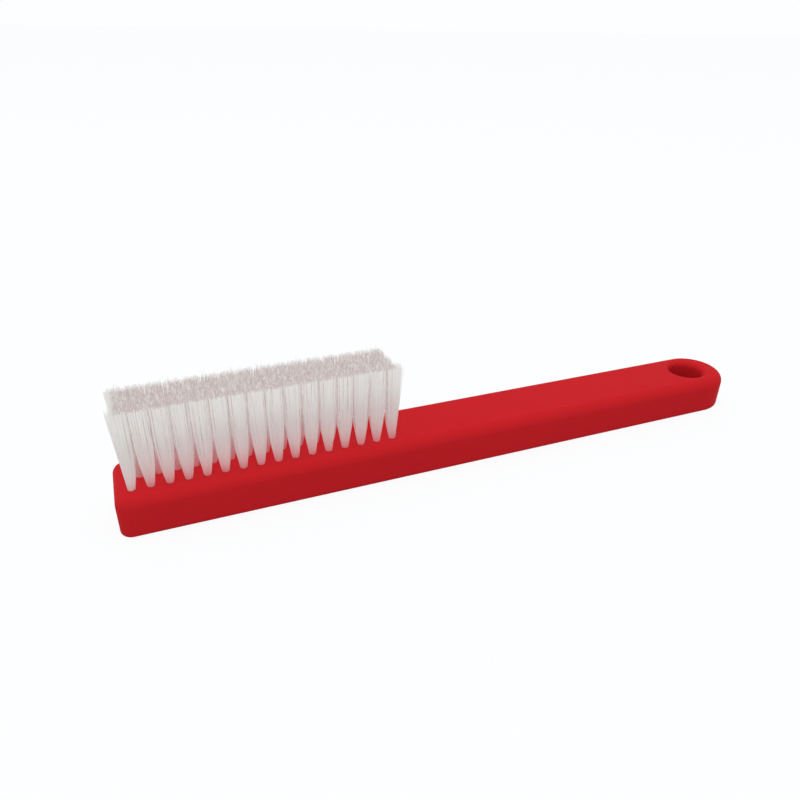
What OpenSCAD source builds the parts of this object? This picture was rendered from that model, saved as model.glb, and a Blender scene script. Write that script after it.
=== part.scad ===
// Long-handled nail brush: a moulded bar handle with three staggered rows of
// nylon tufts, each folded round a flat metal anchor in a blind hole.
// The brush lies on its back, bristles up. The head is at -X, the tail at +X.

/* [Handle] */
// Length of the handle from the head end to the tail end
handle_length = 170; // [150:1:220]
// Width of the handle
handle_width = 17.8; // [16.6:0.1:21]
// Thickness of the handle
handle_thickness = 10.1; // [8.5:0.1:14]
// Rounding of the rim of the bristled face
face_rim_radius = 2.6; // [1:0.1:2.6]
// Rounding of the rim of the back face
back_rim_radius = 1.2; // [0.6:0.1:2.6]
// Radius of the two corners at the head end, seen from above
corner_radius = 2.7; // [2.7:0.1:6]

/* [Hang hole] */
// Diameter of the hang hole
hang_hole_diameter = 9.4; // [5:0.1:10]
// Distance from the tail end to the centre of the hang hole
hang_hole_inset = 10.8; // [9:0.1:16]
// Rounding of both mouths of the hang hole
hang_mouth_radius = 1.5; // [0.5:0.1:2]

/* [Tufts] */
// Distance between the tufts of a row
tuft_pitch = 4; // [3.7:0.05:4.5]
// Distance from the flanks to the centres of the outer rows
flank_inset = 4.3; // [3.8:0.05:4.6]
// Distance from the head end to the first tuft of the outer rows
first_tuft_inset = 3.9; // [3.8:0.1:8]
// Diameter of the blind hole of a tuft
tuft_hole_diameter = 1.8; // [1.6:0.05:2.2]
// Depth of the blind hole of a tuft
tuft_hole_depth = 6.4; // [5:0.1:7]
// Height of the trimmed bristles above the handle
trim_height = 19; // [12:0.2:26]
// Reach of the tips past the centres of the outer rows
tip_overhang = 2.4; // [1.8:0.05:2.6]
// Reach of the tips past the first and last tufts of the outer rows
tip_reach = 2.3; // [2:0.1:3.2]

/* [Anchors] */
// Length of the flat metal anchor across a tuft
anchor_length = 2.5; // [2.4:0.1:3.2]
// Thickness of the anchor
anchor_thickness = 0.3; // [0.25:0.05:0.6]
// Height of the anchor
anchor_height = 1.7; // [1.2:0.1:2.5]
// Turn of the anchors away from the rows
anchor_turn = 45; // [0:5:90]

/* [Hidden] */
// Gap between a tuft and the wall of its hole
tuft_clearance = 0.05;
// Gap between the tips of neighbouring tufts
tip_gap = 0.16;
// Depth of the folded filaments under an anchor
fold_depth = 0.6;
// How far a flaring tuft fills the corners of its share of the tips
tip_fill_share = 0.94;
// Overrun of every cut
cut = 1;
// Facets of the rounded shapes
$fn = 64;

head_x = -handle_length / 2;
tail_x = handle_length / 2;
tail_radius = handle_width / 2;
tail_centre_x = tail_x - tail_radius;
hang_x = tail_x - hang_hole_inset;
row_pitch = handle_width / 2 - flank_inset;
tuft_bottom_z = handle_thickness - tuft_hole_depth;
anchor_z = tuft_bottom_z + fold_depth;
tuft_radius = tuft_hole_diameter / 2 - tuft_clearance;

// The rows from the front, -Y, to the back: the letter in the names of their tufts, and how many
// these are. The middle row stands half a pitch off, with one tuft less
ROWS = [["a", 16], ["b", 15], ["c", 16]];
function row_count(row) = ROWS[row][1];
function outer_x(i) = head_x + first_tuft_inset + i * tuft_pitch;
function tuft_x(row, i) = outer_x(i) + (row == 1 ? tuft_pitch / 2 : 0);
function row_y(row) = (row - 1) * row_pitch;

// The share of the trimmed tips that one tuft fills: a rectangle from low to high
function tip_low_x(row, i) = i == 0 ? outer_x(0) - tip_reach : tuft_x(row, i) - tuft_pitch / 2;
function tip_high_x(row, i) = i == row_count(row) - 1
    ? outer_x(row_count(0) - 1) + tip_reach
    : tuft_x(row, i) + tuft_pitch / 2;
function tip_high_y(row) = row == 2 ? row_pitch + tip_overhang : row_y(row) + row_pitch / 2;
function tip_low_y(row) = -tip_high_y(2 - row);

function two_digits(n) = n < 10 ? str("0", n) : str(n);
function tuft_name(row, i) = str("tuft_", ROWS[row][0], two_digits(i + 1));

// The section of the handle: a rectangle on the X axis with its four corners rounded
module round_section(width) {
    translate([-width / 2, back_rim_radius])
        square([width, handle_thickness - back_rim_radius - face_rim_radius]);
    translate([back_rim_radius - width / 2, 0])
        square([width - 2 * back_rim_radius, back_rim_radius]);
    translate([face_rim_radius - width / 2, handle_thickness - face_rim_radius])
        square([width - 2 * face_rim_radius, face_rim_radius]);
    for (side = [-1, 1]) {
        translate([side * (width / 2 - back_rim_radius), back_rim_radius])
            circle(back_rim_radius);
        translate([side * (width / 2 - face_rim_radius), handle_thickness - face_rim_radius])
            circle(face_rim_radius);
    }
}

// A bar along +X from the origin with the handle's thickness and rounded rims
module bar(length, width) {
    rotate([90, 0, 90]) linear_extrude(length) round_section(width);
}

// An upright disc with the handle's thickness and rounded rims
module disc(radius) {
    rotate_extrude() intersection() {
        round_section(2 * radius);
        square([radius, handle_thickness]);
    }
}

// The straight bar between the square head end and the round tail
module handle_body() {
    corner_x = head_x + corner_radius;
    corner_y = handle_width / 2 - corner_radius;
    for (side = [-1, 1])
        translate([corner_x, side * corner_y, 0]) disc(corner_radius);
    translate([corner_x, corner_y, 0]) rotate([0, 0, -90])
        bar(2 * corner_y, 2 * corner_radius);
    translate([corner_x, 0, 0]) bar(tail_centre_x - corner_x, handle_width);
    translate([tail_centre_x, 0, 0]) disc(tail_radius);
}

// One tuft's blind hole. The ends of its anchor bite into the wall, and the plastic has sprung back
// over the grooves that they cut on the way down
module tuft_hole(row, i) {
    translate([tuft_x(row, i), row_y(row), tuft_bottom_z])
        cylinder(h = tuft_hole_depth + cut, d = tuft_hole_diameter);
    anchor_place(row, i) anchor_blank(anchor_height);
}

// The hang hole with its two rounded mouths
module hang_hole() {
    hole_radius = hang_hole_diameter / 2;
    translate([hang_x, 0, -cut])
        cylinder(h = handle_thickness + 2 * cut, r = hole_radius);
    for (side = [0, 1])
        translate([hang_x, 0, side * handle_thickness]) mirror([0, 0, side])
            rotate_extrude() difference() {
                translate([0, -cut])
                    square([hole_radius + hang_mouth_radius, hang_mouth_radius + cut]);
                translate([hole_radius + hang_mouth_radius, hang_mouth_radius])
                    circle(hang_mouth_radius);
            }
}

// The moulded handle with its hang hole and the drilled tuft holes
module handle() {
    color([0.8, 0.15, 0.17]) difference() {
        handle_body();
        hang_hole();
        for (row = [0 : 2], i = [0 : row_count(row) - 1]) tuft_hole(row, i);
    }
}

module anchor_place(row, i) {
    translate([tuft_x(row, i), row_y(row), anchor_z]) rotate([0, 0, anchor_turn]) children();
}

module anchor_blank(height) {
    translate([-anchor_length / 2, -anchor_thickness / 2, 0])
        cube([anchor_length, anchor_thickness, height]);
}

// The flat metal anchors, one driven into each tuft hole across the folded filaments
module anchors() {
    color([0.78, 0.79, 0.8])
        for (row = [0 : 2], i = [0 : row_count(row) - 1])
            anchor_place(row, i) anchor_blank(anchor_height);
}

// The flaring part of a tuft, from the face of the handle to the trimmed tips
module tuft_flare(row, i) {
    low = [tip_low_x(row, i), tip_low_y(row)] + [1, 1] * tip_gap / 2;
    high = [tip_high_x(row, i), tip_high_y(row)] - [1, 1] * tip_gap / 2;
    lean = (low + high) / 2 - [tuft_x(row, i), row_y(row)];
    lean_turn = atan2(lean.y, lean.x);
    flare_length = norm([lean.x, lean.y, trim_height]);
    tip_radius = tip_fill_share * norm(high - low) / 2;
    mouth_radius = tuft_hole_diameter / 2;
    widening = (tip_radius - mouth_radius) / flare_length;
    intersection() {
        translate([tuft_x(row, i), row_y(row), handle_thickness])
            rotate([0, atan(norm(lean) / trim_height), lean_turn])
                translate([0, 0, -cut]) rotate([0, 0, -lean_turn]) cylinder(
                    h = flare_length + 2 * cut,
                    r1 = mouth_radius - cut * widening,
                    r2 = tip_radius + cut * widening
                );
        translate([low.x, low.y, handle_thickness])
            cube([high.x - low.x, high.y - low.y, trim_height]);
    }
}

// One tuft: filaments folded under their anchor, standing out of the hole and flaring
module tuft(row, i) {
    color([0.93, 0.92, 0.9]) {
        difference() {
            translate([tuft_x(row, i), row_y(row), tuft_bottom_z])
                cylinder(h = tuft_hole_depth, r = tuft_radius);
            anchor_place(row, i) anchor_blank(anchor_height);
        }
        tuft_flare(row, i);
    }
}

handle();
for (row = [0 : 2], i = [0 : row_count(row) - 1])
    tuft(row, i);
anchors();
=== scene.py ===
"""A long-handled nail brush lying on its back: a moulded plastic handle and 47 tufts of nylon filament."""
import math

import bmesh
import bpy
import numpy as np
from mathutils import Matrix, Vector


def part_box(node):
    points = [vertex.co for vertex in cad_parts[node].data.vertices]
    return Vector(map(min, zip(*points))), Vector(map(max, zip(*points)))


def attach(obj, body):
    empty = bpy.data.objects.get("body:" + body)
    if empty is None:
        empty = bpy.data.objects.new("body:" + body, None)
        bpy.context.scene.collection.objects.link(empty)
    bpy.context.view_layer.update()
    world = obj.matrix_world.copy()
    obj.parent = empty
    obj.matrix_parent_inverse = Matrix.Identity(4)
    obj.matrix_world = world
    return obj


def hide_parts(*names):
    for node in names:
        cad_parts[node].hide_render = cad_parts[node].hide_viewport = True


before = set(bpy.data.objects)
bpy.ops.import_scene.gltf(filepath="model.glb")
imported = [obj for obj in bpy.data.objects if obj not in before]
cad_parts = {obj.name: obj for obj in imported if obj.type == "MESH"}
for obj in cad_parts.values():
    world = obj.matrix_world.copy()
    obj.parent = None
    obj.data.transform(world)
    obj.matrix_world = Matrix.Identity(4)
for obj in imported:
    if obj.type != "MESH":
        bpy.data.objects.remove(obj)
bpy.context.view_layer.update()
MM = 0.001

# Handle. One bar injection moulded in opaque red polypropylene, with rounded rims, a hang hole and 47
# blind holes for the tufts. The fine grain of the mould scatters its gloss so widely that it looks nearly
# matt, and a little light wanders under its skin, so its edges look softer than painted ones.
HANDLE_RED = "#CD242A"
HANDLE_RED_DEEP = "#C92228"
HANDLE_IOR = 1.49
HANDLE_SPECULAR = 0.01
HANDLE_ROUGHNESS_LEAST = 0.46
HANDLE_ROUGHNESS_MOST = 0.56
# How much of the light wanders under the skin, how far, and the share of that way for red, green and blue.
UNDER_SKIN_SHARE = 0.12
UNDER_SKIN_REACH = 1.2 * MM
COLOUR_REACH_SHARES = (1.0, 0.12, 0.1)
FLOW_MARK = 14 * MM
FLOW_MARK_DEPTH = 0.25 * MM
# The real grain is finer. It is drawn as coarse as it needs to show.
MOULD_GRAIN = 0.35 * MM
MOULD_GRAIN_DEPTH = 0.02 * MM
# How close two corners of the CAD surface lie to be one, how far it turns at a sharp edge, and how nearly
# square to an axis a flat side is.
JOIN_DISTANCE = 0.002 * MM
SHARP_ANGLE = math.radians(32)
FLAT_COSINE = 1 - 1e-6
# The sockets of a Mix node for its factor and its two colours, and its output for the mixed colour.
MIX_FACTOR, MIX_FIRST, MIX_SECOND, MIXED = 0, 6, 7, 2


def linear(code):
    """An sRGB hex colour as linear RGBA: c / 12.92 below 0.04045, else ((c + 0.055) / 1.055) ** 2.4."""
    srgb = np.array([int(code[i : i + 2], 16) for i in (1, 3, 5)]) / 255
    rgb = np.where(srgb <= 0.04045, srgb / 12.92, ((srgb + 0.055) / 1.055) ** 2.4)
    return (*rgb.tolist(), 1.0)


def add_node(tree, kind, settings=None, links=None):
    """Adds a node. settings gives properties or input values by name, links gives what feeds an input."""
    node = tree.nodes.new(kind)
    for name, value in (settings or {}).items():
        if isinstance(name, str) and hasattr(node, name):
            setattr(node, name, value)
        else:
            node.inputs[name].default_value = value
    for name, source in (links or {}).items():
        tree.links.new(source, node.inputs[name])
    return node


def new_material(name):
    """An empty node material and its tree."""
    material = bpy.data.materials.new(name)
    material.use_nodes = True
    material.node_tree.nodes.clear()
    return material, material.node_tree


def moulded_polypropylene():
    """Red polypropylene. Its surface has slow flow marks, which also show in its colour, and a fine grain,
    which also shows in its gloss."""
    material, tree = new_material("moulded_polypropylene")
    place = add_node(tree, "ShaderNodeTexCoord").outputs["Object"]
    flow = add_node(
        tree,
        "ShaderNodeTexNoise",
        {"Scale": 1 / FLOW_MARK, "Detail": 2.0, "Roughness": 0.4},
        {"Vector": place},
    )
    grain = add_node(
        tree,
        "ShaderNodeTexNoise",
        {"Scale": 1 / MOULD_GRAIN, "Detail": 3.0, "Roughness": 0.6},
        {"Vector": place},
    )
    colour = add_node(
        tree,
        "ShaderNodeMix",
        {"data_type": "RGBA", MIX_FIRST: linear(HANDLE_RED_DEEP), MIX_SECOND: linear(HANDLE_RED)},
        {MIX_FACTOR: flow.outputs["Fac"]},
    )
    gloss = add_node(
        tree,
        "ShaderNodeMapRange",
        {"To Min": HANDLE_ROUGHNESS_LEAST, "To Max": HANDLE_ROUGHNESS_MOST},
        {"Value": grain.outputs["Fac"]},
    )
    waves = add_node(
        tree,
        "ShaderNodeBump",
        {"Strength": 0.25, "Distance": FLOW_MARK_DEPTH},
        {"Height": flow.outputs["Fac"]},
    )
    bump = add_node(
        tree,
        "ShaderNodeBump",
        {"Strength": 0.12, "Distance": MOULD_GRAIN_DEPTH},
        {"Height": grain.outputs["Fac"], "Normal": waves.outputs["Normal"]},
    )
    shader = add_node(
        tree,
        "ShaderNodeBsdfPrincipled",
        {
            "IOR": HANDLE_IOR,
            "Specular IOR Level": HANDLE_SPECULAR,
            "Subsurface Weight": UNDER_SKIN_SHARE,
            "Subsurface Radius": COLOUR_REACH_SHARES,
            "Subsurface Scale": UNDER_SKIN_REACH,
        },
        {
            "Base Color": colour.outputs[MIXED],
            "Roughness": gloss.outputs["Result"],
            "Normal": bump.outputs["Normal"],
        },
    )
    add_node(tree, "ShaderNodeOutputMaterial", links={"Surface": shader.outputs["BSDF"]})
    return material


def link_piece(name, mesh, material):
    """A shown object with that mesh and one material, at the origin."""
    mesh.materials.clear()
    mesh.materials.append(material)
    piece = bpy.data.objects.new(name, mesh)
    bpy.context.scene.collection.objects.link(piece)
    return piece


def mesh_values(items, name, width, kind=float):
    """One property of all the items of a mesh, as an array with a row of that width for each."""
    values = np.empty(len(items) * width, kind)
    items.foreach_get(name, values)
    return values.reshape(-1, width)


def smooth_copy(node, sharp_angle):
    """The CAD node's surface with its loose triangles joined, and parted again along the edges that are
    sharper than sharp_angle, so that both their sides keep their own normals. Where a rounding runs out
    into a flat side, square to an axis, it takes that side's exact normal."""
    shell = bmesh.new()
    shell.from_mesh(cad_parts[node].data)
    bmesh.ops.remove_doubles(shell, verts=shell.verts, dist=JOIN_DISTANCE)
    sharp = [edge for edge in shell.edges if edge.is_manifold and edge.calc_face_angle() > sharp_angle]
    bmesh.ops.split_edges(shell, edges=sharp)
    mesh = bpy.data.meshes.new(node)
    shell.to_mesh(mesh)
    shell.free()
    mesh.shade_smooth()
    normals = mesh_values(mesh.corner_normals, "vector", 3)
    face_normals = mesh_values(mesh.polygons, "normal", 3)
    face_corners = mesh_values(mesh.polygons, "loop_total", 1, int)[:, 0]
    vertex = mesh_values(mesh.loops, "vertex_index", 1, int)[:, 0]
    for side in np.concatenate([np.eye(3), -np.eye(3)]):
        flat = np.repeat(face_normals @ side > FLAT_COSINE, face_corners)
        on_side = np.zeros(len(mesh.vertices), bool)
        on_side[vertex[flat]] = True
        normals[on_side[vertex] & (normals @ side > math.cos(sharp_angle))] = side
    mesh.normals_split_custom_set(normals)
    return mesh


handle = link_piece("handle_bar", smooth_copy("handle", SHARP_ANGLE), moulded_polypropylene())
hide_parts("handle")
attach(handle, "root")

# Anchors. Each tuft is held by a short piece of flat steel wire, cut off the coil and driven into the
# hole across the fold of the filaments, where its two ends bite into the plastic.
STEEL = "#C9CBCE"
STEEL_ROUGHNESS = 0.38
ROLLING_LINE = 0.05 * MM
ROLLING_LINE_DEPTH = 0.01 * MM


def drawn_flat_wire():
    """Bare drawn steel: bright, with fine rolling lines."""
    material, tree = new_material("drawn_steel_wire")
    place = add_node(tree, "ShaderNodeTexCoord").outputs["Object"]
    lines = add_node(
        tree, "ShaderNodeTexNoise", {"Scale": 1 / ROLLING_LINE, "Detail": 2.0}, {"Vector": place}
    )
    bump = add_node(
        tree,
        "ShaderNodeBump",
        {"Strength": 0.2, "Distance": ROLLING_LINE_DEPTH},
        {"Height": lines.outputs["Fac"]},
    )
    shader = add_node(
        tree,
        "ShaderNodeBsdfPrincipled",
        {"Base Color": linear(STEEL), "Metallic": 1.0, "Roughness": STEEL_ROUGHNESS},
        {"Normal": bump.outputs["Normal"]},
    )
    add_node(tree, "ShaderNodeOutputMaterial", links={"Surface": shader.outputs["BSDF"]})
    return material


wire = drawn_flat_wire()
for wire_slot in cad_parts["anchors"].material_slots:
    wire_slot.material = wire

# Tufts. Each is a bundle of straight nylon filaments, folded in two round its anchor, so that both legs
# stand out of the hole. Freed of the hole the legs splay until they meet their neighbours, and the brush
# is then trimmed level. Every tuft here has all its filaments, each one closed tube from tip to tip.
FILAMENT_WIDTH = 0.125 * MM
FILAMENTS = 72
FILAMENT_SIDES = 5
# The anchors' turn away from the rows and half their thickness, as the CAD model has them.
ANCHOR_TURN = math.radians(45)
ANCHOR_HALF_THICKNESS = 0.15 * MM
# The middle line of a filament has a point at these shares of its leg's height above the handle and of
# its half turn under the anchor.
RISE_SHARES = np.array([0.0, 0.1, 0.25, 0.5, 1.0])
FOLD_SHARES = np.array([0.25, 0.5, 0.75])
# How deep a filament folds under the anchor at least, and how far it stays off the floor of the hole.
FOLD_LEAST_DEPTH = 0.05 * MM
FOLD_FLOOR_GAP = 0.1 * MM
# The share of the bristles' height at which the tufts meet, and how fully the tips fill the corners there.
SPLAY_HEIGHT_SHARE = 0.62
TIP_SQUARE_SHARE = 0.85
# What no two filaments have alike: the place and the height of their tips, and their bow.
TIP_SCATTER = 0.12 * MM
TRIM_SCATTER = 0.03 * MM
TRIM_LIMIT = 0.2 * MM
BOW_SCATTER = 0.08 * MM
STRAY_SCATTER = 0.3 * MM
STRAY_HEIGHT = 0.7 * MM
# The three rows, from the front at -Y to the back: the side of the block that each stands on, how many
# of its filaments stray, and how far its two ends stand back from the ends of the block.
ROW_SIDES = {"a": -1, "b": 0, "c": 1}
STRAY_SHARES = {"a": 0.004, "b": 0.008, "c": 0.05}
ROW_SHORT_AT_HEAD = {"a": 0.0, "b": 1.1 * MM, "c": 0.2 * MM}
ROW_SHORT_AT_TAIL = {"a": 0.0, "b": 0.9 * MM, "c": 1.3 * MM}
NYLON_WHITE = "#FDFBF7"
# Painted pinkish shade, deep inside the bristle block.
NYLON_PAINTED_INNER_SHADE = "#D3C5C1"
# Painted pink of red light bounced off the plastic, near the roots of the tufts.
NYLON_PAINTED_BOUNCE = "#FBA0A5"
NYLON_IOR = 1.53
NYLON_ROUGHNESS = 0.4
NYLON_SPECULAR = 0.3
# How much of the light passes through a wall of a filament, and how many walls it may cross.
PASSING_SHARE = 0.991
FILAMENT_WALLS_PASSED = 64
# The height in which the red light bounced off the plastic, painted into the nylon's colour, falls to 1 / e,
# how much farther it reaches inside the block, and what is left of it past the first tuft.
PAINTED_BOUNCE_HEIGHT = 4.5 * MM
INNER_PAINTED_BOUNCE_SHARE = 0.45
HEAD_PAINTED_BOUNCE_SHARE = 0.4
# The depth down to which the block looks white and that from which it takes a painted pinkish shade, and the
# width and length of the patches in which it does so, between two levels of their noise.
SKIN_DEPTH = 0.7 * MM
INNER_DEPTH = 2.2 * MM
MOTTLE = 0.55 * MM
MOTTLE_LENGTH = 3 * MM
MOTTLE_LEAST = 0.25
MOTTLE_MOST = 0.65
# How far off a tuft's flat bottom a vertex may lie to belong to it.
LEVEL_TOLERANCE = 0.01 * MM
GOLDEN_RATIO = (math.sqrt(5) - 1) / 2
random = np.random.default_rng(seed=47)
along_anchor = np.array([math.cos(ANCHOR_TURN), math.sin(ANCHOR_TURN)])
across_anchor = np.array([-math.sin(ANCHOR_TURN), math.cos(ANCHOR_TURN)])
anchor_gap = ANCHOR_HALF_THICKNESS + FILAMENT_WIDTH / 2
face_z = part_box("handle")[1][2]
anchor_low_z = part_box("anchors")[0][2]


def half_disc_packing(radius):
    """Places spread evenly over the half of the hole's mouth on one side of the anchor, as distances away
    from the anchor and along it. Place k lies radius * sqrt((k + 1/2) / FILAMENTS) from the middle, at an
    angle of pi * (frac(k * GOLDEN_RATIO) - 1/2) from the way straight out."""
    k = np.arange(FILAMENTS)
    distance = radius * np.sqrt((k + 0.5) / FILAMENTS)
    angle = math.pi * (k * GOLDEN_RATIO % 1 - 0.5)
    return distance * np.cos(angle), distance * np.sin(angle)


def disc_to_square(u, v):
    """The elliptical map of the unit disc to the square of -1 to 1. With s = 2 + u * u - v * v, x is half of
    sqrt(s + 2 sqrt(2) u) - sqrt(s - 2 sqrt(2) u), and y is the same with u and v exchanged."""
    k = 2 * math.sqrt(2)

    def side(p, q):
        s = 2 + p * p - q * q
        return (np.sqrt(np.maximum(s + k * p, 0)) - np.sqrt(np.maximum(s - k * p, 0))) / 2

    return side(u, v), side(v, u)


def splay(share):
    """How far a leg has moved towards its neighbours at that share of its height: a quarter of a sine wave
    up to the height where the tufts meet, and no further above it."""
    return np.sin(math.pi / 2 * np.minimum(share / SPLAY_HEIGHT_SHARE, 1))


def root_box(name):
    """The lowest and highest corner of the tuft's flat bottom, a disc at the floor of its blind hole."""
    corners = mesh_values(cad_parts[name].data.vertices, "co", 3)
    bottom = corners[corners[:, 2] < corners[:, 2].min() + LEVEL_TOLERANCE]
    return bottom.min(axis=0), bottom.max(axis=0)


def trimmed_tips(disc, low, high, row):
    """Where the filaments of a leg end. Their places in the mouth, on the unit disc, are stretched to the
    rectangle from low to high that the tuft fills at the trimmed top, and then scattered. A few strays
    lean further aside and stand up to STRAY_HEIGHT higher."""
    square = np.stack(disc_to_square(disc[:, 0], disc[:, 1]), axis=1)
    spread = TIP_SQUARE_SHARE * square + (1 - TIP_SQUARE_SHARE) * disc
    centre = (low[:2] + high[:2]) / 2
    reach = (high[:2] - low[:2]) / 2
    tip = np.empty((FILAMENTS, 3))
    tip[:, :2] = centre + reach * spread + random.normal(0, TIP_SCATTER, (FILAMENTS, 2))
    stray = random.random(FILAMENTS) < STRAY_SHARES[row]
    tip[:, :2] += stray[:, None] * random.normal(0, STRAY_SCATTER, (FILAMENTS, 2))
    tip[:, 2] = high[2] + np.clip(random.normal(0, TRIM_SCATTER, FILAMENTS), -TRIM_LIMIT, TRIM_LIMIT)
    tip[:, 2] += stray * random.random(FILAMENTS) * STRAY_HEIGHT
    return tip


def leg_points(beside, mouth, tip, outward):
    """The middle lines of the filaments of one leg: beside the anchor, in the mouth of the hole, and at the
    RISE_SHARES of the height above it. Sideways they move as splay says, but in a straight line to an
    outer side of the block, and each bows by a half sine wave of its own."""
    rise = RISE_SHARES[:, None, None]
    move = tip[:, :2] - mouth
    share = np.where(move * outward > 0, rise, splay(rise))
    bow = random.normal(0, BOW_SCATTER, (FILAMENTS, 2)) * np.sin(math.pi * rise)
    points = np.empty((len(RISE_SHARES) + 1, FILAMENTS, 3))
    points[0, :, :2] = beside
    points[0, :, 2] = anchor_low_z
    points[1:, :, :2] = mouth + move * share + bow
    points[1:, :, 2] = face_z + (tip[:, 2] - face_z) * rise[:, :, 0]
    return points


def filament_paths(name, row, outward):
    """The middle lines of a tuft's filaments, an array of (filaments, points, 3): down the first leg, half an
    ellipse under the anchor and up the second leg. What lies farthest from the anchor folds deepest. The
    values of outward, for X and Y, are -1 or 1 where the tuft stands at that side of the block, else 0."""
    low, high = (np.array(corner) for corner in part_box(name))
    low[0] += ROW_SHORT_AT_HEAD[row] * (outward[0] < 0)
    high[0] -= ROW_SHORT_AT_TAIL[row] * (outward[0] > 0)
    root_low, root_high = root_box(name)
    middle = (root_low[:2] + root_high[:2]) / 2
    radius = (root_high[0] - root_low[0] - FILAMENT_WIDTH) / 2
    away, along = half_disc_packing(radius)
    past_anchor = anchor_gap + away * (1 - anchor_gap / radius)
    legs = []
    for side in (-1, 1):
        beside = middle + side * past_anchor[:, None] * across_anchor + along[:, None] * along_anchor
        disc = (side * away[:, None] * across_anchor + along[:, None] * along_anchor) / radius
        tip = trimmed_tips(disc, low, high, row)
        legs.append(leg_points(beside, middle + radius * disc, tip, outward))
    turn = math.pi * FOLD_SHARES[:, None]
    room_below = anchor_low_z - low[2] - FOLD_FLOOR_GAP - FOLD_LEAST_DEPTH
    depth = FOLD_LEAST_DEPTH + room_below * away / away.max()
    fold = np.empty((len(FOLD_SHARES), FILAMENTS, 3))
    fold[:, :, :2] = middle - (past_anchor * np.cos(turn))[:, :, None] * across_anchor
    fold[:, :, :2] += along[:, None] * along_anchor
    fold[:, :, 2] = anchor_low_z - depth * np.sin(turn)
    return np.concatenate([legs[0][::-1], fold, legs[1]]).transpose(1, 0, 2)


def tubes(paths, width):
    """Closed tubes along paths, an array of (tubes, rings, 3). Each ring is a polygon square to its path, and
    is turned to one fixed direction along the anchor. Returns the points, the quads of the walls and the
    polygons that close the ends."""
    count, rings, _ = paths.shape
    tangent = np.gradient(paths, axis=1)
    tangent /= np.linalg.norm(tangent, axis=2, keepdims=True)
    aside = np.broadcast_to([*along_anchor, 0.0], tangent.shape)
    normal = np.cross(tangent, aside)
    normal /= np.linalg.norm(normal, axis=2, keepdims=True)
    binormal = np.cross(tangent, normal)
    turn = np.arange(FILAMENT_SIDES) * 2 * math.pi / FILAMENT_SIDES
    ring = normal[:, :, None] * np.cos(turn)[:, None] + binormal[:, :, None] * np.sin(turn)[:, None]
    points = (paths[:, :, None] + ring * width / 2).reshape(-1, 3)
    start = np.arange(count)[:, None] * rings * FILAMENT_SIDES
    first = start[:, :, None] + np.arange(rings - 1)[None, :, None] * FILAMENT_SIDES
    here = np.arange(FILAMENT_SIDES)
    there = (here + 1) % FILAMENT_SIDES
    next_ring = first + FILAMENT_SIDES
    quads = np.stack([first + here, first + there, next_ring + there, next_ring + here], axis=-1)
    ends = np.concatenate([start + here[::-1], start + (rings - 1) * FILAMENT_SIDES + here])
    return points, quads.reshape(-1, 4), ends


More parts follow.
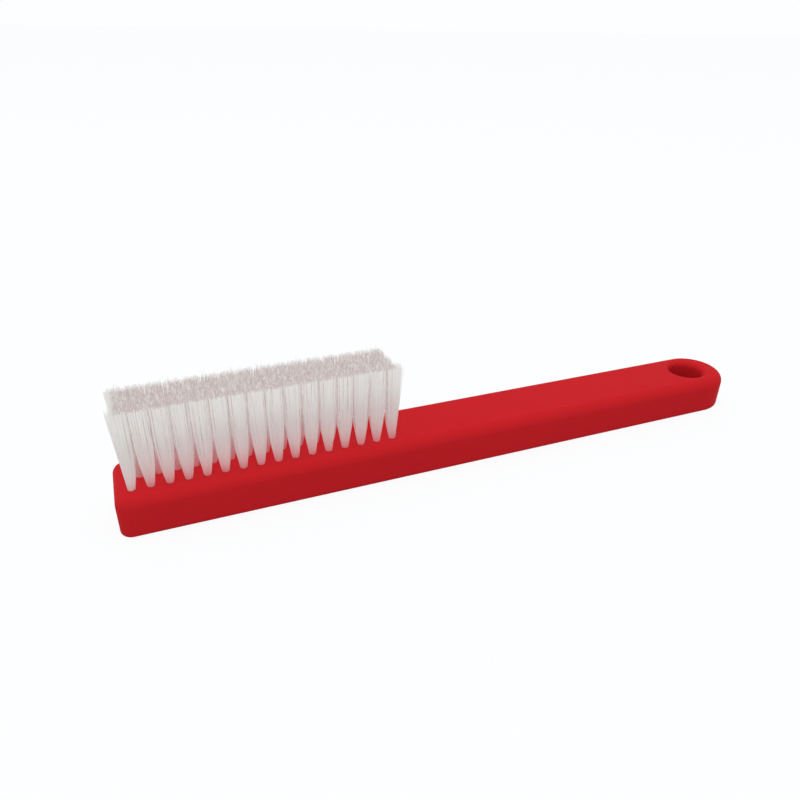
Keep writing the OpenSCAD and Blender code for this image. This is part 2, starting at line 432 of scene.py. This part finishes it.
def trimmed_nylon(root_half, tip_half, middle_x, root_z, tip_z, first_x, second_x):
    """Natural white nylon. It takes up so little light that nearly all of it passes on through the next
    filaments: to light on its way through a bundle, a filament is all but clear. Red light bounced off the
    plastic is painted into its colour, as a pink that fades with the height above it as
    exp(-height / PAINTED_BOUNCE_HEIGHT). Further up, deep between the filaments, a painted pinkish shade
    makes the tips look faintly and unevenly pink. Past the first tuft there is no red plastic, so from the
    second tuft, at second_x, to the first, at first_x, the painted bounce light falls to
    HEAD_PAINTED_BOUNCE_SHARE. The depth of a point is its distance from the nearest side of the bristle
    block, whose half sizes run from root_half at root_z to tip_half at tip_z."""
    material, tree = new_material("natural_nylon_filament")
    place = add_node(tree, "ShaderNodeTexCoord").outputs["Object"]
    axis = add_node(tree, "ShaderNodeSeparateXYZ", links={"Vector": place})
    depths = []
    for side, middle, root, tip in (
        ("X", middle_x, root_half[0], tip_half[0]),
        ("Y", 0.0, root_half[1], tip_half[1]),
    ):
        reach = add_node(
            tree,
            "ShaderNodeMapRange",
            {"clamp": False, "From Min": root_z, "From Max": tip_z, "To Min": root, "To Max": tip},
            {"Value": axis.outputs["Z"]},
        )
        offset = add_node(
            tree, "ShaderNodeMath", {"operation": "SUBTRACT", 1: middle}, {0: axis.outputs[side]}
        )
        distance = add_node(tree, "ShaderNodeMath", {"operation": "ABSOLUTE"}, {0: offset.outputs[0]})
        depths.append(
            add_node(
                tree,
                "ShaderNodeMath",
                {"operation": "SUBTRACT"},
                {0: reach.outputs["Result"], 1: distance.outputs[0]},
            )
        )
    depth = add_node(
        tree,
        "ShaderNodeMath",
        {"operation": "MINIMUM"},
        {0: depths[0].outputs[0], 1: depths[1].outputs[0]},
    )
    inside = add_node(
        tree,
        "ShaderNodeMapRange",
        {"interpolation_type": "SMOOTHSTEP", "From Min": SKIN_DEPTH, "From Max": INNER_DEPTH},
        {"Value": depth.outputs[0]},
    )
    drawn_out = add_node(
        tree,
        "ShaderNodeMapping",
        {"Scale": (1 / MOTTLE, 1 / MOTTLE, 1 / MOTTLE_LENGTH)},
        {"Vector": place},
    )
    noise = add_node(
        tree, "ShaderNodeTexNoise", {"Scale": 1.0, "Detail": 2.0}, {"Vector": drawn_out.outputs["Vector"]}
    )
    mottle = add_node(
        tree,
        "ShaderNodeMapRange",
        {"interpolation_type": "SMOOTHSTEP", "From Min": MOTTLE_LEAST, "From Max": MOTTLE_MOST},
        {"Value": noise.outputs["Fac"]},
    )
    # Painted shade: deep in the block the nylon turns darker and pinker, in uneven patches.
    uneven_painted_shade = add_node(
        tree,
        "ShaderNodeMath",
        {"operation": "MULTIPLY"},
        {0: inside.outputs["Result"], 1: mottle.outputs["Result"]},
    )
    upper = add_node(
        tree,
        "ShaderNodeMix",
        {"data_type": "RGBA", MIX_FIRST: linear(NYLON_WHITE), MIX_SECOND: linear(NYLON_PAINTED_INNER_SHADE)},
        {MIX_FACTOR: uneven_painted_shade.outputs[0]},
    )
    # Painted red bounce light: pink near the plastic, fading with the height above it, reaching farther
    # inside the block and weaker at the head.
    height = add_node(tree, "ShaderNodeMath", {"operation": "SUBTRACT", 1: root_z}, {0: axis.outputs["Z"]})
    fall = add_node(
        tree,
        "ShaderNodeMapRange",
        {"To Min": -PAINTED_BOUNCE_HEIGHT, "To Max": -PAINTED_BOUNCE_HEIGHT * (1 + INNER_PAINTED_BOUNCE_SHARE)},
        {"Value": inside.outputs["Result"]},
    )
    falls = add_node(
        tree, "ShaderNodeMath", {"operation": "DIVIDE"}, {0: height.outputs[0], 1: fall.outputs["Result"]}
    )
    painted_bounce_fading = add_node(tree, "ShaderNodeMath", {"operation": "EXPONENT"}, {0: falls.outputs[0]})
    red_near = add_node(
        tree,
        "ShaderNodeMapRange",
        {
            "interpolation_type": "SMOOTHSTEP",
            "From Min": first_x,
            "From Max": second_x,
            "To Min": HEAD_PAINTED_BOUNCE_SHARE,
            "To Max": 1.0,
        },
        {"Value": axis.outputs["X"]},
    )
    glow = add_node(
        tree,
        "ShaderNodeMath",
        {"operation": "MULTIPLY"},
        {0: painted_bounce_fading.outputs[0], 1: red_near.outputs["Result"]},
    )
    colour = add_node(
        tree,
        "ShaderNodeMix",
        {"data_type": "RGBA", MIX_SECOND: linear(NYLON_PAINTED_BOUNCE)},
        {MIX_FACTOR: glow.outputs[0], MIX_FIRST: upper.outputs[MIXED]},
    )
    surface = add_node(
        tree,
        "ShaderNodeBsdfPrincipled",
        {"IOR": NYLON_IOR, "Roughness": NYLON_ROUGHNESS, "Specular IOR Level": NYLON_SPECULAR},
        {"Base Color": colour.outputs[MIXED]},
    )
    passed = add_node(
        tree, "ShaderNodeBsdfTransparent", {"Color": (PASSING_SHARE, PASSING_SHARE, PASSING_SHARE, 1)}
    )
    ray = add_node(tree, "ShaderNodeLightPath")
    bounced = add_node(
        tree,
        "ShaderNodeMixShader",
        links={0: ray.outputs["Is Diffuse Ray"], 1: surface.outputs[0], 2: passed.outputs[0]},
    )
    shader = add_node(
        tree,
        "ShaderNodeMixShader",
        links={0: ray.outputs["Is Shadow Ray"], 1: bounced.outputs[0], 2: passed.outputs[0]},
    )
    add_node(tree, "ShaderNodeOutputMaterial", links={"Surface": shader.outputs[0]})
    return material


rows = {row: sorted(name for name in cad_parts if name.startswith(f"tuft_{row}")) for row in ROW_SIDES}
tuft_names = [name for names in rows.values() for name in names]
roots = [root_box(name) for name in tuft_names]
root_low = np.min([low for low, high in roots], axis=0)
root_high = np.max([high for low, high in roots], axis=0)
block_low = np.min([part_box(name)[0] for name in tuft_names], axis=0)
block_high = np.max([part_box(name)[1] for name in tuft_names], axis=0)
first_x, second_x = ((low[0] + high[0]) / 2 for low, high in roots[:2])
nylon = trimmed_nylon(
    root_half=(root_high - root_low) / 2,
    tip_half=(block_high - block_low) / 2,
    middle_x=(block_low[0] + block_high[0]) / 2,
    root_z=face_z,
    tip_z=block_high[2],
    first_x=first_x,
    second_x=second_x,
)
for row, names in rows.items():
    for name in names:
        outward = np.array([(name == names[-1]) - (name == names[0]), ROW_SIDES[row]])
        points, quads, ends = tubes(filament_paths(name, row, outward), FILAMENT_WIDTH)
        mesh = bpy.data.meshes.new(f"{name}_filaments")
        mesh.from_pydata(points, [], quads.tolist() + ends.tolist())
        mesh.polygons.foreach_set("use_smooth", np.arange(len(mesh.polygons)) < len(quads))
        tuft = link_piece(f"{name}_filaments", mesh, nylon)
        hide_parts(name)
        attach(tuft, "root")

# Stage. A pale table top that runs on to the horizon, white to the camera and in reflections, where the
# brush leaves a faint soft shadow.
TABLE_HALF = 20.0
TABLE_DROP = 0.02 * MM
TABLE_GREY = "#CCCCCC"
WHITE_GROUND = "#FDFEFF"
GROUND_LEVEL = 0.925
SHADING_SHOWN = 0.08


def seen_ray(tree):
    """1 for rays from the camera, off a gloss or through something clear, 0 for what only carries light."""
    ray = add_node(tree, "ShaderNodeLightPath")
    indirect = add_node(
        tree,
        "ShaderNodeMath",
        {"operation": "MAXIMUM"},
        {0: ray.outputs["Is Glossy Ray"], 1: ray.outputs["Is Transmission Ray"]},
    )
    seen = add_node(
        tree,
        "ShaderNodeMath",
        {"operation": "MAXIMUM"},
        {0: ray.outputs["Is Camera Ray"], 1: indirect.outputs[0]},
    )
    return seen.outputs[0]


def pale_table():
    """Matt grey to the light. The rays that show it find it lifted to white, with a trace of its shading."""
    material, tree = new_material("pale_table")
    own = add_node(tree, "ShaderNodeBsdfDiffuse", {"Color": linear(TABLE_GREY)})
    dim = add_node(tree, "ShaderNodeBsdfDiffuse", {"Color": (SHADING_SHOWN, SHADING_SHOWN, SHADING_SHOWN, 1)})
    glow = add_node(tree, "ShaderNodeEmission", {"Color": linear(WHITE_GROUND), "Strength": GROUND_LEVEL})
    lifted = add_node(tree, "ShaderNodeAddShader", links={0: dim.outputs[0], 1: glow.outputs[0]})
    mixed = add_node(
        tree, "ShaderNodeMixShader", links={0: seen_ray(tree), 1: own.outputs[0], 2: lifted.outputs[0]}
    )
    add_node(tree, "ShaderNodeOutputMaterial", links={"Surface": mixed.outputs[0]})
    return material


table_top = bpy.data.meshes.new("table_top")
corners = np.array([(-1, -1, 0), (1, -1, 0), (1, 1, 0), (-1, 1, 0)]) * TABLE_HALF
table_top.from_pydata(corners + [0, 0, -TABLE_DROP], [], [(0, 1, 2, 3)])
link_piece("table_top", table_top, pale_table())

# Light. A white room gives most of the light from all round, and a wide soft panel above the brush adds
# the rest, so that the upper faces stand at full level and the flanks at about two thirds of it.
ROOM_LEVEL = 0.78
PANEL_PLACE = Vector((-0.25, -0.15, 1.4))
PANEL_WIDTH = 1.2
PANEL_POWER = 5.0

room = bpy.data.worlds.new("white_room")
bpy.context.scene.world = room
room.use_nodes = True
room.node_tree.nodes.clear()
level = add_node(
    room.node_tree,
    "ShaderNodeMapRange",
    {"To Min": ROOM_LEVEL, "To Max": 1.0},
    {"Value": seen_ray(room.node_tree)},
)
air = add_node(
    room.node_tree,
    "ShaderNodeBackground",
    {"Color": linear(WHITE_GROUND)},
    {"Strength": level.outputs["Result"]},
)
add_node(room.node_tree, "ShaderNodeOutputWorld", links={"Surface": air.outputs[0]})

panel_light = bpy.data.lights.new("soft_panel", "AREA")
panel_light.shape = "SQUARE"
panel_light.size = PANEL_WIDTH
panel_light.energy = PANEL_POWER
panel = bpy.data.objects.new("soft_panel", panel_light)
panel.location = PANEL_PLACE
panel.rotation_mode = "QUATERNION"
panel.rotation_quaternion = PANEL_PLACE.to_track_quat("Z", "Y")
bpy.context.scene.collection.objects.link(panel)

# Camera. It stands close over the head of the brush and looks along it towards the tail, so the bar
# shrinks quickly with distance. Its place and angles come from the outline of the bar in the picture.
CAMERA_PLACE = Vector((-74, -137, 98)) * MM
CAMERA_AZIMUTH = math.radians(22.51)
CAMERA_DOWN = math.radians(28.58)
CAMERA_ROLL = math.radians(0.92)
CAMERA_NEAREST = 0.01
CAMERA_FARTHEST = 100
IMAGE_WIDTH = 800
FOCAL_PIXELS = 685.7

camera_data = bpy.data.cameras.new("camera")
camera_data.sensor_fit = "HORIZONTAL"
camera_data.lens = FOCAL_PIXELS / IMAGE_WIDTH * camera_data.sensor_width
camera_data.clip_start = CAMERA_NEAREST
camera_data.clip_end = CAMERA_FARTHEST
camera = bpy.data.objects.new("camera", camera_data)
ahead = Vector(
    (
        math.sin(CAMERA_AZIMUTH) * math.cos(CAMERA_DOWN),
        math.cos(CAMERA_AZIMUTH) * math.cos(CAMERA_DOWN),
        -math.sin(CAMERA_DOWN),
    )
)
level_right = Vector((math.cos(CAMERA_AZIMUTH), -math.sin(CAMERA_AZIMUTH), 0))
right = Matrix.Rotation(-CAMERA_ROLL, 3, ahead) @ level_right
above = right.cross(ahead)
turned = Matrix((right, above, -ahead)).transposed().to_4x4()
camera.matrix_world = Matrix.Translation(CAMERA_PLACE) @ turned
bpy.context.scene.collection.objects.link(camera)
bpy.context.scene.camera = camera

# Settings. Light on its way through the bristle block crosses many filament walls, more than
# the usual limit of 8.
bpy.context.scene.view_settings.view_transform = "Standard"
bpy.context.scene.cycles.transparent_max_bounces = FILAMENT_WALLS_PASSED
